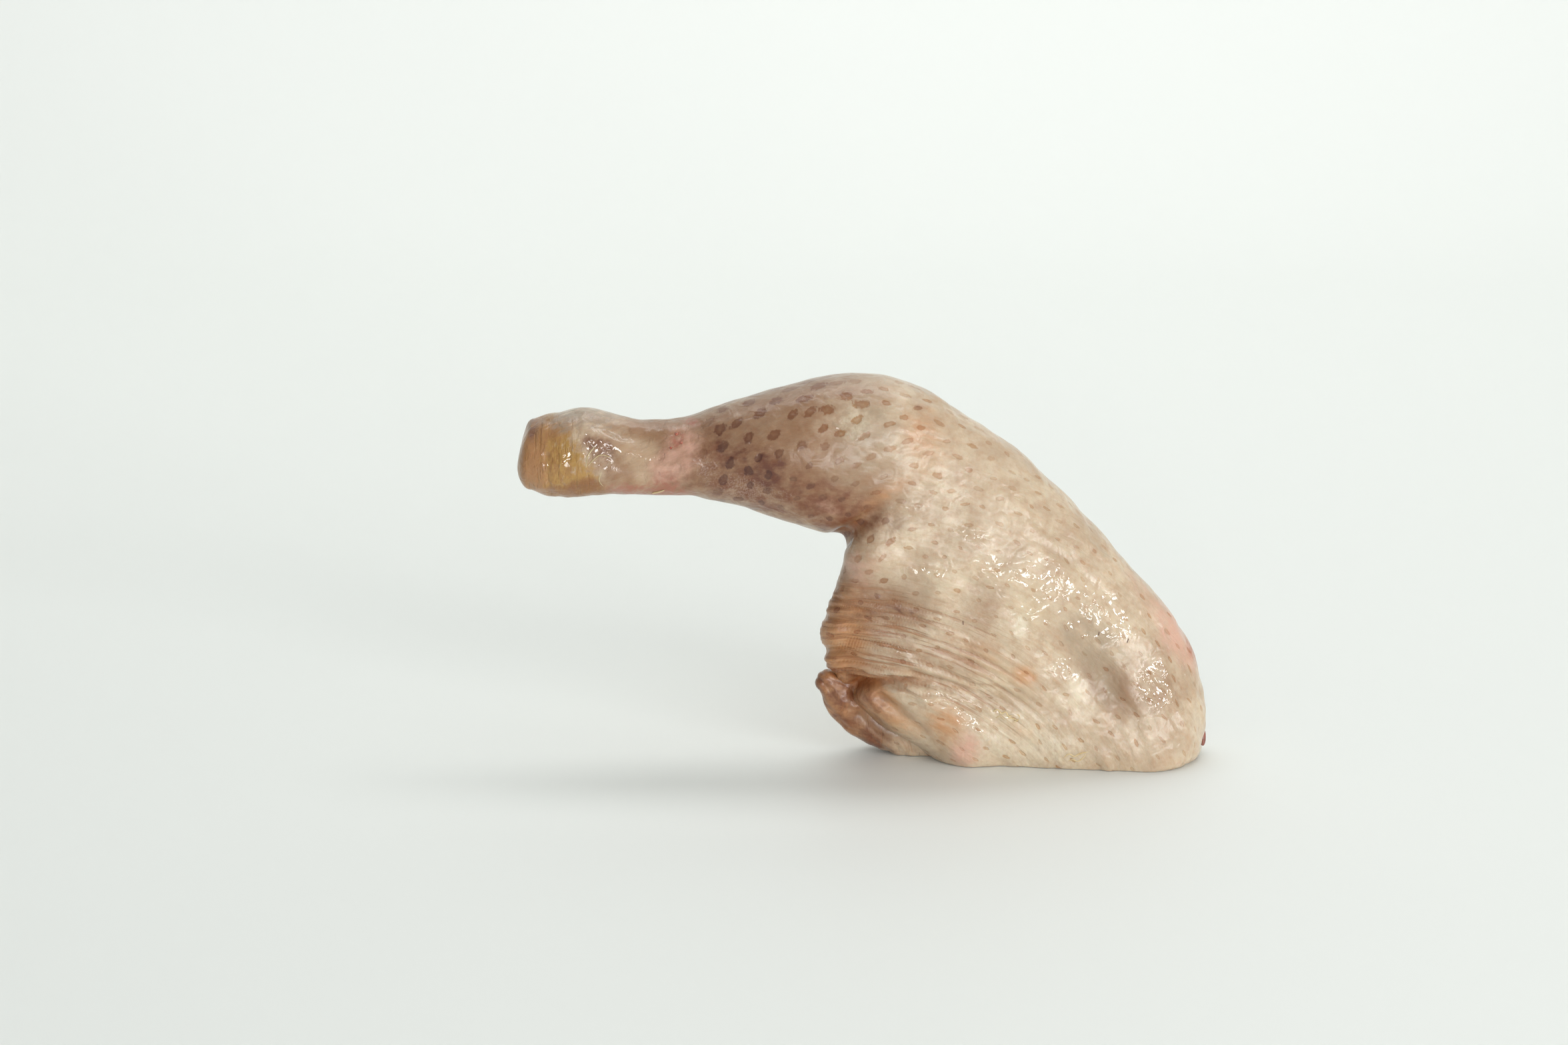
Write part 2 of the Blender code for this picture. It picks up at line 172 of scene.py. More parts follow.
# Fields of the skin, each a sum of soft ovals: middle (a, b), reach along and across, turn, strength.
ZONES = {
    # Darker skin of the drumstick and shank, and painted shade in the hollows over the hip and beside the
    # thigh muscle, along the thigh's left edge, under the knee fold, on the drumstick's underside and on the
    # flap under the lobe.
    "dark_tone_and_shade": (
        ((-92, 116), (36, 22), 8, 0.90), ((-132, 110), (20, 20), 0, 0.95), ((-80, 134), (28, 8), 0, 0.5),
        ((-44, 58), (10, 7), -15, 0.7), ((-54, 22), (12, 6), -40, 0.8), ((-16, 62), (10, 8), -30, 0.5),
        ((-80, 98), (30, 10), -16, 0.5), ((-38, 116), (12, 10), 0, 0.3), ((-62, 96), (16, 14), 20, 0.75),
        ((-61, 57), (14, 20), 0, 0.85), ((-64, 20), (12, 18), 30, 1.5), ((24, 33), (12, 7), -55, 1.05),
        ((-14, 100), (20, 10), -40, 0.2), ((44, 30), (14, 20), 0, 0.62), ((-40, 40), (11, 7), -12, 0.45),
        ((-16, 42), (20, 10), -25, 0.42), ((-71, 32), (5, 5), 0, 0.6),
    ),
    # Greyer, thinner skin, and at (24, 32) the painted shade of the hollow over the hip.
    "grey": (
        ((-57, 118), (11, 14), 10, 0.85), ((-66, 103), (12, 8), -20, 0.5), ((24, 32), (12, 7), -55, 0.8),
        ((19, 48), (15, 9), -40, 0.95), ((-40, 64), (14, 9), -20, 0.6), ((-95, 119), (22, 6), 20, 0.45),
    ),
    "yellow": (
        ((-2, 58), (12, 14), 20, 0.45), ((-10, 34), (20, 8), -25, 0.5), ((-50, 20), (11, 5), -40, 0.6),
        ((-60, 46), (9, 4), 0, 0.5), ((-10, 92), (20, 10), -40, 0.35),
    ),
    "pale": (
        ((-5, 51.5), (2.6, 4.6), 0, 1), ((15, 30), (4.2, 7), 25, 0.9), ((-23, 61), (8, 5), -20, 0.4),
        ((-63, 121), (9, 9), 0, 0.55), ((-4, 12), (32, 12), -14, 0.75),
    ),
    "orange": (
        ((-40, 116), (8, 13), 10, 0.58), ((-30, 112), (12, 16), 20, 0.22), ((-52, 97), (12, 4), 30, 0.6),
        ((-30, 18), (9, 8), -35, 0.9), ((-3.5, 34.5), (4.5, 3), -15, 0.9), ((-18, 42), (20, 9), -25, 0.5),
        ((-66, 56), (8, 14), 0, 0.6), ((-60, 84), (7, 5), 40, 0.5), ((-6, 16), (14, 6), -20, 0.5),
        ((-68, 44), (11, 17), 0, 1.15), ((-66, 22), (9, 14), 30, 0.9), ((-52, 25), (12, 5), -40, 1.1),
        ((-168, 104), (5, 8), 0, 0.5),
    ),
    "pink": (
        ((52, 48), (8, 14), 33, 1.2), ((36, 66), (12, 4), -48, 0.5), ((-22.5, 10), (6, 7), 0, 1),
        ((-60, 72), (8, 8), 30, 0.7), ((-120, 113), (9, 9), 0, 0.8), ((-128, 104), (9, 6), 0, 0.8),
        ((30, 14), (30, 9), -10, 0.25), ((-8, 120), (26, 3), -38, 0.4), ((-72, 93), (9, 4), -20, 0.6),
    ),
    # Brown skin of the drumstick and hock, and painted shade along the drumstick's underside, under the knee
    # fold, on the thigh's left side, in the hollow behind the lobe, on the flap and along the lobe's crease.
    "brown": (
        ((-95, 119), (28, 15), 14, 0.44), ((-90, 97), (25, 12), -16, 1.1), ((-66, 84), (7, 7), 0, 0.8),
        ((-109, 110), (6, 16), 0, 0.3), ((-66, 93), (14, 6), -20, 0.95), ((-148, 107), (4, 9), 25, 0.7),
        ((-160, 113), (6, 3), 0, 0.6), ((-154, 102), (3, 6), 0, 0.5), ((-122, 101), (8, 5), 0, 0.4),
        ((-60, 58), (15, 12), -10, 0.6), ((-70, 60), (6, 20), 0, 0.2), ((-69, 30), (11, 8), 10, 1.35),
        ((-58, 12), (14, 6), -35, 1.25), ((-44, 32), (16, 2.6), -4, 0.15),
        ((-54, 24), (11, 5), -40, 0.75), ((-46, 88), (10, 6), 30, 0.35), ((-12, 44), (22, 4), -25, 0.3),
        ((-41, 126.4), (5, 1.4), -8, 0.5), ((-2, 74), (9, 5), -30, 0.2), ((36, 40), (10, 4), -50, 0.25),
    ),
    # Dark red-brown blotches of the drumstick, and painted shade along the drumstick's underside, under the
    # knee fold and in the hollow beside the thigh muscle.
    "violet": (
        ((-99.5, 111.5), (3, 4.5), -10, 1), ((-93, 108), (2.8, 5), -10, 1.25),
        ((-87, 107), (2.6, 4.5), -15, 0.9), ((-106, 110), (3, 7), 10, 0.8), ((-90, 102), (4, 3), 60, 0.9),
        ((-81, 99), (3, 5), -20, 0.6), ((-98, 102), (10, 4), -16, 0.5), ((-112, 118), (4, 6), 20, 0.6),
        ((-70, 119), (8, 5), 0, 0.15), ((-46, 56.5), (9, 3.5), -20, 0.8),
        ((27.5, 36.5), (3, 2.6), 0, 0.4), ((-74, 94), (3, 5), -30, 0.6), ((-127, 111), (5, 6), 20, 0.5),
    ),
    # Painted glints: pale specks that stand in for the glints of tiny wet bumps, low on the drumstick and on
    # the thigh.
    "painted_glints": (
        ((-100, 99), (11, 7), -16, 1), ((-113, 106), (5, 7), 0, 0.8), ((-84, 96), (9, 5), -16, 0.6),
        ((-4, 60), (16, 14), 0, 0.45),
    ),
    "blood": (
        ((-122.2, 115.2), (3, 3.8), -20, 1.2), ((-117, 121.4), (3.8, 2), -15, 1.1),
        ((-126, 101.5), (6, 4), -10, 0.8), ((-141, 97.5), (11, 3.6), 0, 1.2),
        ((-122, 97.4), (10, 2), 0, 0.8), ((57.5, 42), (3.6, 10), 26, 1),
        ((-70, 96), (2.2, 3.6), -30, 0.6),
    ),
    "tendon": (
        ((-137, 112), (7, 6), -30, 1.1), ((-134, 102), (4, 7), 10, 0.9), ((-130, 112), (3, 4), 20, 0.5),
    ),
    "tissue": (
        ((-152, 122.5), (11, 5), -4, 1.1), ((-162, 121), (4, 3.5), 0, 0.8),
    ),
    "bruise": (
        ((-151, 114), (5, 3.4), -20, 0.95), ((-146, 111.5), (4.5, 3), -20, 0.9),
        ((-147.5, 106), (4, 4.5), 0, 0.45), ((-172.5, 119.5), (2.6, 5.5), 15, 1.2),
        ((-166, 122.5), (8, 2), 10, 0.6),
    ),
    "amber": (
        ((-157, 97.5), (16, 3.6), 0, 1), ((-152, 101), (4, 3), 0, 0.6), ((-72, 30), (4, 4), 0, 0.5),
        ((-164, 117), (5, 4), 0, 0.5),
    ),
    "crinkle": (
        ((6, 60), (14, 10), -40, 1.4), ((22, 56), (12, 6), -20, 1.5), ((45, 31), (8, 7), -30, 1.3),
        ((-15, 71), (6, 4), -20, 1.2), ((-38, 70), (6, 2.4), 0, 0.8), ((-22, 83), (7, 3), -20, 0.5),
        ((-32, 68), (4, 3), 0, 0.6), ((-10, 20), (7, 3), -15, 0.9), ((-38, 27.5), (7, 4), -30, 1.2),
        ((-152, 110), (12, 7), 0, 0.4), ((-25, 19), (8, 6), -40, 1.2), ((15, 6), (6, 3), 0, 0.7),
        ((12, 40), (8, 8), 0, 0.6), ((-65, 120), (4, 3), 0, 0.7), ((-46, 44), (10, 3), -10, 0.4),
        ((-158, 111), (14, 8), 0, 0.8), ((-128, 112), (14, 6), 0, 0.8), ((-44, 92), (8, 3), 10, 0.35),
    ),
}

# Where the hock's scaly yellow skin fades out, along a slanting edge, and where its brown end does, with an
# oval of that brown at the upper corner.
HOCK_LEAN = 0.6
HOCK_EDGE = (-158.0, -137.0)
END_EDGE = (-172.0, -159.0)
END_CORNER = ((-163.0, 119.0), (9.0, 5.0), 0.0)

# Feather pores: middle (a, b), reach along and across, turn, then what they measure there in millimetres
# (length, width), how dark they are and how their long side is turned from the grain, in degrees.
PORE_SPACING = 5.8
PORE_UNEVEN = (0.75, 1.2)
PORE_SWING = 18.0
PORE_DARKEST = 1.2
# No pores on the shank, and nearly even ones, a little further apart, in an oval of the drumstick.
PORE_START = (-118.0, -104.0)
EVEN_PORES = ((-84.0, 118.0), (40.0, 26.0), -10.0)
EVEN_ROOM = 0.02
PORES = (
    ((-88, 124), (30, 14), -12, (5.9, 3.9), 1.1, 32),
    ((-102, 108), (16, 12), -10, (4.7, 3.3), 1, 48),
    ((-74, 103), (22, 13), -12, (2.6, 2), 0.4, 30),
    ((-40, 112), (18, 22), 0, (4.4, 1.9), 0.8, 10),
    ((-14, 92), (26, 20), -40, (3.2, 1.4), 0.6, 10),
    ((2, 62), (40, 20), -40, (2.2, 1.1), 0.55, 0),
    ((-45, 55), (22, 16), 0, (2.6, 1.5), 0.7, 0),
    ((-58, 78), (12, 10), 0, (3.6, 2.6), 0.9, 50),
    ((34, 30), (30, 24), -40, (3.2, 1.1), 0.75, 0),
    ((0, 14), (40, 12), 0, (3, 1.2), 0.75, 0),
)


def smooth_rows(knots, places):
    """Rows read off a Catmull-Rom curve through the rows of knots, at places from 0 to their last index."""
    last = len(knots) - 1
    first = np.clip(places.astype(int), 0, last - 1)
    t = (places - first)[:, None]
    before = knots[np.maximum(first - 1, 0)]
    start = knots[first]
    end = knots[first + 1]
    after = knots[np.minimum(first + 2, last)]
    return 0.5 * (
        2 * start
        + (end - before) * t
        + (2 * before - 5 * start + 4 * end - after) * t**2
        + (3 * start - before - 3 * end + after) * t**3
    )


def even_places(knots, count):
    """Places along the sections that step evenly by the travel of the two edges."""
    fine = np.linspace(0, len(knots) - 1, 40 * len(knots))
    rows = smooth_rows(knots, fine)
    upper = np.linalg.norm(np.diff(rows[:, 0:2], axis=0), axis=1)
    lower = np.linalg.norm(np.diff(rows[:, 2:4], axis=0), axis=1)
    travel = np.concatenate([[0.0], np.cumsum(upper + lower)])
    return np.interp(np.linspace(0, travel[-1], count), travel, fine)


def loft(sections, rings, outer_points, inner_points, start_dome, end_dome):
    """A grid of points (a, b, d) on rings through the sections, and the share of each in the outer side.

    A ring's point at angle t lies at centre + up * half * cos t in the leg's plane, and at depth
    middle - thickness * sin t * (1 + gather * cos t). The end rings shrink by a sine while they move out
    by height * (1 - shrink^square)^(1/square), which closes the ends as domes.
    """
    knots = np.array([[*upper, *lower, *rest] for upper, lower, *rest in sections])
    rows = smooth_rows(knots, even_places(knots, rings))
    upper = rows[:, 0:2]
    lower = rows[:, 2:4]
    centre = (upper + lower) / 2
    up = (upper - lower) / np.linalg.norm(upper - lower, axis=1, keepdims=True)
    half = np.linalg.norm(upper - lower, axis=1) / 2
    middle, outer, inner, gather = rows[:, 4:8].T
    shrink = np.sin(np.linspace(0, np.pi / 2, DOME_RINGS + 1)[:-1])
    start_rise = start_dome[0] * (1 - shrink ** start_dome[1]) ** (1 / start_dome[1])
    end_rise = end_dome[0] * (1 - shrink ** end_dome[1]) ** (1 / end_dome[1])
    outward = np.stack([-up[:, 1], up[:, 0]], axis=1)
    start_side = -np.sign(outward[0] @ (centre[1] - centre[0]))
    end_side = np.sign(outward[-1] @ (centre[-1] - centre[-2]))
    order = np.concatenate([np.zeros(DOME_RINGS, int), np.arange(rings), np.full(DOME_RINGS, rings - 1)])
    size = np.concatenate([shrink, np.ones(rings), shrink[::-1]])
    push = np.concatenate([start_side * start_rise, np.zeros(rings), end_side * end_rise[::-1]])
    turn = np.concatenate(
        [
            np.linspace(0, np.pi, outer_points, endpoint=False),
            np.linspace(np.pi, 2 * np.pi, inner_points, endpoint=False),
        ]
    )
    across = np.cos(turn)[None, :]
    bulge = np.sin(turn)[None, :]
    thickness = np.where(bulge > 0, outer[order, None], inner[order, None])
    plane = (
        centre[order, None, :]
        + up[order, None, :] * (half[order] * size)[:, None, None] * across[:, :, None]
        + outward[order, None, :] * push[:, None, None]
    )
    swell = bulge * (1 + gather[order, None] * across)
    depth = middle[order, None] - thickness * size[:, None] * swell
    return np.dstack([plane, depth]), bulge * size[:, None]


def on_axis(a, b, middle, turn):
    """Where a point lies along and across an axis through a middle, turned by so many degrees."""
    c, s = np.cos(np.radians(turn)), np.sin(np.radians(turn))
    return (a - middle[0]) * c + (b - middle[1]) * s, -(a - middle[0]) * s + (b - middle[1]) * c


def hump(a, b, middle, reach, turn):
    """A smooth hump exp(-(along^2 + across^2)) on an oval that is turned by so many degrees."""
    along, across = on_axis(a, b, middle, turn)
    return np.exp(-((along / reach[0]) ** 2 + (across / reach[1]) ** 2))


def humps(a, b, rows):
    """A sum of humps: each row's last values are a hump's middle, reach, turn and height."""
    return sum(height * hump(a, b, middle, reach, turn) for *_, middle, reach, turn, height in rows)


def crease(a, b, start, end, half_width, fade):
    """A smooth valley of depth 1 along a straight line, weaker towards its end by fade."""
    line = np.subtract(end, start)
    share = ((a - start[0]) * line[0] + (b - start[1]) * line[1]) / (line @ line)
    held = np.clip(share, 0, 1)
    away = np.hypot(a - start[0] - held * line[0], b - start[1] - held * line[1])
    return np.exp(-((away / half_width) ** 2)) * (1 - fade * held)


def ease(value, low, high):
    """0 below low, 1 above high, and a smooth step between."""
    t = np.clip((value - low) / (high - low), 0, 1)
    return t * t * (3 - 2 * t)


def soft_noise(x, y, seed):
    """Value noise from -1 to 1: seeded random heights on whole numbers, joined by smooth steps."""
    table = np.random.default_rng(seed).uniform(-1, 1, (64, 64))
    column, row = np.floor(x).astype(int), np.floor(y).astype(int)
    u, v = ease(x - column, 0, 1), ease(y - row, 0, 1)
    near = table[column % 64, row % 64] * (1 - u) + table[(column + 1) % 64, row % 64] * u
    far = table[column % 64, (row + 1) % 64] * (1 - u) + table[(column + 1) % 64, (row + 1) % 64] * u
    return near * (1 - v) + far * v


def inside_the_cut(a, b):
    """Millimetres inside the edge of the skin on the inner side, less than 0 on the skin."""
    along, across = on_axis(a, b, CUT_MIDDLE, CUT_TURN)
    angle = np.arctan2(across, along)
    ragged = 1 + sum(height * np.sin(count * angle + start) for count, height, start in CUT_WAVES)
    return (1 - np.hypot(along / CUT_REACH[0], across / CUT_REACH[1]) / ragged) * CUT_REACH[1]


def grain_of(a, b):
    """Where a point lies along and across the skin's grain: arc length and distance about GRAIN_CENTRE."""
    across = np.hypot(a - GRAIN_CENTRE[0], b - GRAIN_CENTRE[1])
    angle = np.arctan2(a - GRAIN_CENTRE[0], b - GRAIN_CENTRE[1])
    return angle * across, across


def fold_field(a, b):
    """The fan of folds and where it is: round ridges sqrt(sin^2 + 0.05), with lesser ones between."""
    along, across = grain_of(a, b)
    low, full, fading, high = FOLD_BAND
    where = ease(across, low, full) * (1 - ease(across, fading, high)) * (1 - ease(along, *FOLD_REACH))
    wander = 1.1 * soft_noise(along / 24, across / 9, SEED + 1)
    wander += 0.35 * soft_noise(along / 9, across / 4, SEED + 2)
    wave = np.sqrt(np.sin(np.pi * (across / FOLD_SPACING + wander)) ** 2 + 0.05)
    wave += 0.35 * np.sin(np.pi * (across / (0.7 * FOLD_SPACING) - 1.6 * wander)) ** 2 - 0.2
    tall = 0.75 + 0.60 * soft_noise(along / 18, across / 6, SEED + 3)
    return FOLD_HEIGHT * tall * (wave - 0.65) * where, where


def form_heights(points, side):
    """Height of swellings, creases and bare flesh in millimetres, and how deep a point lies in a crease."""
    a, b = points[..., 0], points[..., 1]
    valleys = [
        depth * crease(a, b, start, end, width, fade) for _, start, end, width, depth, fade in OUTER_CREASES
    ]
    valley = np.max(valleys, axis=0) * ease(side, -0.25, 0.15)
    outer = humps(a, b, OUTER_FORMS) * ease(side, -0.2, 0.45)
    inner = humps(a, b, INNER_FORMS)
    bare = inside_the_cut(a, b)
    lip = 0.7 * np.exp(-(((bare + 1.4) / 1.6) ** 2))
    inner = (inner - SKIN_THICKNESS) * ease(bare, 0, SKIN_EDGE) + lip
    return outer - valley + inner * np.clip(-side, 0, 1), valley


def in_the_world(points):
    """Points (a, b, d) in millimetres, leant back and set down, as (x, y, z) in metres."""
    c, s = np.cos(np.radians(LEAN)), np.sin(np.radians(LEAN))
    a, b, d = points[..., 0], points[..., 1], points[..., 2]
    x = a - REST_MIDDLE_A
    y = b * s + d * c - REST_MIDDLE_D / c
    z = b * c - d * s
    return np.stack([x, y, z], axis=-1) * MM


def unit(vectors):
    return vectors / np.maximum(np.linalg.norm(vectors, axis=-1, keepdims=True), 1e-9)


def grid_normals(points):
    """Outward normals of a grid that is closed the second way: the cross product of its two slopes."""
    along = np.gradient(points, axis=0)
    around = np.roll(points, -1, axis=1) - np.roll(points, 1, axis=1)
    return unit(np.cross(along, around))


def moved_out(points, height):
    """The grid moved out along its normals by a height for each point, in millimetres."""
    normals = grid_normals(points)
    middle = points.mean(axis=1, keepdims=True)
    facing = np.sign(np.sum(normals * (points - middle), axis=-1).mean())
    return points + normals * facing * height[..., None]


def relief_of(points, side):
    """Small relief in millimetres: folds, gooseflesh, slack skin, the hock's rings and the flesh's fibres.

    Each part is noise: its height stands before it, and the size of its lumps divides its coordinates.
    """
    a, b, d = points[..., 0], points[..., 1], points[..., 2]
    along, across = grain_of(a, b)
    folds, _ = fold_field(a, b)
    outer = ease(side, -0.35, 0.15) * (0.3 + 0.7 * ease(np.abs(side), 0.05, 0.5))
    lumps = 0.45 * soft_noise(a / 11 + d / 15, b / 11 - d / 17, SEED + 5)
    lumps += 0.22 * soft_noise(a / 4.5 + d / 6, b / 4.5 - d / 7, SEED + 6)
    slack = 0.30 * soft_noise(along / 13, across / 2.8 + d / 9, SEED + 7) * ease(a, -64.0, -36.0)
    lower_right = ease(a - 0.6 * b, -30.0, 10.0)
    slack += 0.22 * soft_noise(along / 7, across / 2.2, SEED + 10) * lower_right
    hock = 1 - ease(a, -152.0, -143.0)
    rings = 0.20 * soft_noise(a / 2.2, (b + d) / 9, SEED + 8) * hock
    bare = ease(inside_the_cut(a, b), 0, SKIN_EDGE) * (1 - ease(side, -0.2, 0.0))
    fibre = 0.5 * soft_noise(along / 20, across / 2.4, SEED + 9) * bare
    return folds * (0.2 + 0.8 * outer) + lumps + slack + rings + fibre


def flap_wrinkles(points):
    """Wrinkles of the folded flap in millimetres: ridges sqrt(sin^2 + 0.04) along it that wander sideways."""
    along, across = on_axis(points[..., 0], points[..., 1], FLAP_MIDDLE, FLAP_TURN)
    wander = 0.5 * soft_noise(along / 9, across / 5, SEED + 13)
    ridge = np.sqrt(np.sin(np.pi * (across / FLAP_SPACING + wander)) ** 2 + 0.04)
    bent = 0.35 * soft_noise(along / 2.4, across / 9, SEED + 15)
    return 0.35 * (ridge - 0.6) + 0.7 * soft_noise(along / 7, across / 5, SEED + 14) + bent


def settled(world):
    """World points held a hair above the floor, so that no face lies in its plane."""
    world = world.copy()
    world[..., 2] = np.maximum(world[..., 2], FLOOR_GAP)
    return world


def surface(name, world, fields):
    """A mesh over a grid that is closed the second way, its first and last rings drawn together to points.

    fields are arrays of the grid's shape, or of one vector for each point, kept as attributes.
    """
    rings, count, _ = world.shape
    index = np.arange(rings * count).reshape(rings, count)
    quads = np.stack(
        [index[:-1], np.roll(index, -1, axis=1)[:-1], np.roll(index, -1, axis=1)[1:], index[1:]], axis=-1
    ).reshape(-1, 4)
    quads[quads < count] = 0
    quads[quads >= (rings - 1) * count] = (rings - 1) * count
    used, renamed = np.unique(quads, return_inverse=True)
    faces = [tuple(dict.fromkeys(face)) for face in renamed.reshape(-1, 4).tolist()]
    mesh = bpy.data.meshes.new(name)
    mesh.from_pydata(world.reshape(-1, 3)[used], [], faces)
    for field, values in fields.items():
        values = np.asarray(values, dtype=np.float32)
        if values.ndim == 2:
            layer = mesh.attributes.new(field, "FLOAT", "POINT")
            layer.data.foreach_set("value", values.reshape(-1)[used])
        else:
            layer = mesh.attributes.new(field, "FLOAT_VECTOR", "POINT")
            layer.data.foreach_set("vector", values.reshape(-1, 3)[used].reshape(-1))
    mesh.validate()
    mesh.shade_smooth()
    piece = bpy.data.objects.new(name, mesh)
    bpy.context.collection.objects.link(piece)
    return piece


def facing_out(piece):
    """Turns the faces of a closed piece outwards where its volume comes out negative."""
    mesh = piece.data
    mesh.calc_loop_triangles()
    corners = np.empty(len(mesh.loop_triangles) * 3, np.int32)
    mesh.loop_triangles.foreach_get("vertices", corners)
    spots = np.empty(len(mesh.vertices) * 3, np.float32)
    mesh.vertices.foreach_get("co", spots)
    triangles = spots.reshape(-1, 3)[corners.reshape(-1, 3)]
    if np.linalg.det(triangles).sum() < 0:
        mesh.flip_normals()
    return piece


def zone_fields(points):
    """The skin's fields at each point: a sum of soft ovals in the leg's plane, from 0 to 1."""
    a, b = points[..., 0], points[..., 1]
    return {name: np.clip(humps(a, b, ovals), 0, 1) for name, ovals in ZONES.items()}


def scattered(points, spacing, seed):
    """Index of points that lie at least so far apart: random ones, kept where none drawn earlier is near.

    It is done in passes, each on fresh draws that are also clear of those kept before.
    """
    random = np.random.default_rng(seed)
    kept = np.zeros(0, int)
    for _ in range(16):
        drawn = random.integers(0, len(points), 2600)
        if len(kept):
            gap = np.linalg.norm(points[drawn][:, None] - points[kept][None], axis=-1)
            drawn = drawn[gap.min(axis=1) > spacing[drawn]]
        gap = np.linalg.norm(points[drawn][:, None] - points[drawn][None], axis=-1)
        earlier = np.tri(len(drawn), k=-1, dtype=bool)
        drawn = drawn[~((gap < spacing[drawn][:, None]) & earlier).any(axis=1)]
        kept = np.concatenate([kept, drawn])
    return kept


def pore_fields(points, normals):
    """Where each point lies in its nearest pore: x and y there over the pore's half sizes, and its strength.

    Within a pore's own area x and y are linear, so the shader draws its outline sharper than the mesh.
    """
    flat = points.reshape(-1, 3)
    room = PORE_SPACING * (1 + EVEN_ROOM * hump(flat[:, 0], flat[:, 1], *EVEN_PORES))
    chosen = scattered(flat, room, SEED + 11)
    spots = flat[chosen]
    a, b = spots[:, 0], spots[:, 1]
    near = np.array([hump(a, b, *row[:3]) for row in PORES])
    weights = (near + 1e-6) / (near + 1e-6).sum(axis=0)
    length, width, dark, turn = (weights.T @ np.array([(*row[3], *row[4:]) for row in PORES])).T
    random = np.random.default_rng(SEED + 12)
    length, width = np.array([length, width]) * random.uniform(*PORE_UNEVEN, (2, len(spots))) / 2
    dark *= PORE_DARKEST - (0.68 - 0.5 * hump(a, b, *EVEN_PORES)) * random.uniform(0, 1, len(spots))
    dark *= ease(a, *PORE_START) * ease(near.sum(axis=0), 0.02, 0.3)
    turn += random.uniform(-PORE_SWING, PORE_SWING, len(spots))
    slope = np.arctan2(a - GRAIN_CENTRE[0], b - GRAIN_CENTRE[1]) - np.radians(turn)
    lengthwise = np.stack([np.cos(slope), -np.sin(slope), np.zeros(len(spots))], axis=-1)
    upright = normals.reshape(-1, 3)[chosen]
    crosswise = unit(np.cross(upright, lengthwise))
    lengthwise = np.cross(crosswise, upright)
    square = (spots**2).sum(axis=1)
    parts = np.array_split(flat, 24)
    nearest = np.concatenate([np.argmin(square - 2 * part @ spots.T, axis=1) for part in parts])
    offset = flat - spots[nearest]
    x = np.sum(offset * lengthwise[nearest], axis=1) / length[nearest]
    y = np.sum(offset * crosswise[nearest], axis=1) / width[nearest]
    shape = points.shape[:2]
    return {
        "pore": np.stack([x, y, dark[nearest]], axis=-1).reshape(*shape, 3),
        "pore_near": np.hypot(x, y).reshape(shape),
    }


def colour(code):
    """An sRGB hex value as linear red, green, blue and a full alpha."""
    parts = np.array([int(code[i : i + 2], 16) for i in (0, 2, 4)]) / 255
    linear = np.where(parts <= 0.04045, parts / 12.92, ((parts + 0.055) / 1.055) ** 2.4)
    return (*linear.tolist(), 1.0)


def add(tree, kind, inputs, out=0, **settings):
    """Adds a shader node with its settings and inputs, values or links, and returns one of its outputs."""
    node = tree.nodes.new("ShaderNode" + kind)
    for name, value in settings.items():
        setattr(node, name, value)
    for name, value in inputs.items():
        if isinstance(value, bpy.types.NodeSocket):
            tree.links.new(value, node.inputs[name])
        else:
            node.inputs[name].default_value = value
    return node.outputs[out] if len(node.outputs) else None


def new_material(name):
    """A material with an empty node tree, and that tree."""
    made = bpy.data.materials.new(name)
    made.use_nodes = True
    made.node_tree.nodes.clear()
    return made, made.node_tree


def per_mm(size):
    """A texture's scale on coordinates in metres, from the size of its pattern in millimetres."""
    return 1 / (size * MM)


RGBA = {"data_type": "RGBA"}
SOFT_STEP = {"interpolation_type": "SMOOTHSTEP"}
ROUGH_NOISE = {"Detail": 4.0, "Roughness": 0.6}

# Colour layers of the skin, from the first painted to the last: field, size of its patches in mm, how far
# they stretch along the grain, how much they break it up, where it starts and is full, colour and strength.
SKIN_LAYERS = (
    # The first layer paints darker skin, and painted shade in the hollows, under the knee fold, on the
    # undersides and on the flap.
    ("dark_tone_and_shade", 5.0, 1.4, 1.2, 0.10, 1.00, "8A6444", 0.88),
    ("grey", 4.0, 1.6, 2.4, 0.15, 1.15, "A08C73", 0.90),
    ("yellow", 5.0, 2.0, 1.2, 0.15, 0.95, "D4C3A0", 0.75),
    ("pale", 2.2, 1.0, 1.8, 0.20, 0.90, "DACEB6", 0.75),
    ("orange", 2.2, 4.0, 1.8, 0.15, 1.15, "BE8A5C", 0.78),
    ("pink", 3.0, 1.6, 1.8, 0.20, 1.05, "CFA490", 0.80),
    # The brown layer is partly painted shade on the undersides, in the hollows and on the flap.
    ("brown", 3.6, 1.3, 3.2, 0.12, 1.60, "6E3C20", 0.95),
    # The violet layer is partly painted shade on the drumstick's underside and in the hollows.
    ("violet", 2.4, 1.6, 4.0, 0.30, 1.50, "5A2814", 0.80),
    # Pale specks here are painted glints.
    ("painted_glints", 0.7, 1.0, 4.0, 0.60, 1.50, "B09A8C", 0.40),
    ("tendon", 2.0, 5.0, 1.4, 0.20, 1.10, "B89F82", 0.70),
    ("blood", 1.8, 1.0, 2.6, 0.35, 1.20, "A0624E", 0.75),
    ("hock", 2.2, 0.8, 2.4, 0.28, 0.80, "A98347", 1.00),
    ("hock", 3.0, 0.5, 3.4, 0.80, 1.45, "8F6436", 0.75),
    ("end", 3.5, 0.6, 1.6, 0.25, 1.00, "A3764F", 0.90),
    ("amber", 3.0, 1.0, 1.6, 0.25, 0.95, "84552F", 0.85),
    ("tissue", 1.6, 4.0, 3.2, 0.25, 1.10, "998673", 0.80),
    ("bruise", 2.4, 1.6, 2.4, 0.25, 1.30, "6B3F2C", 0.75),
)


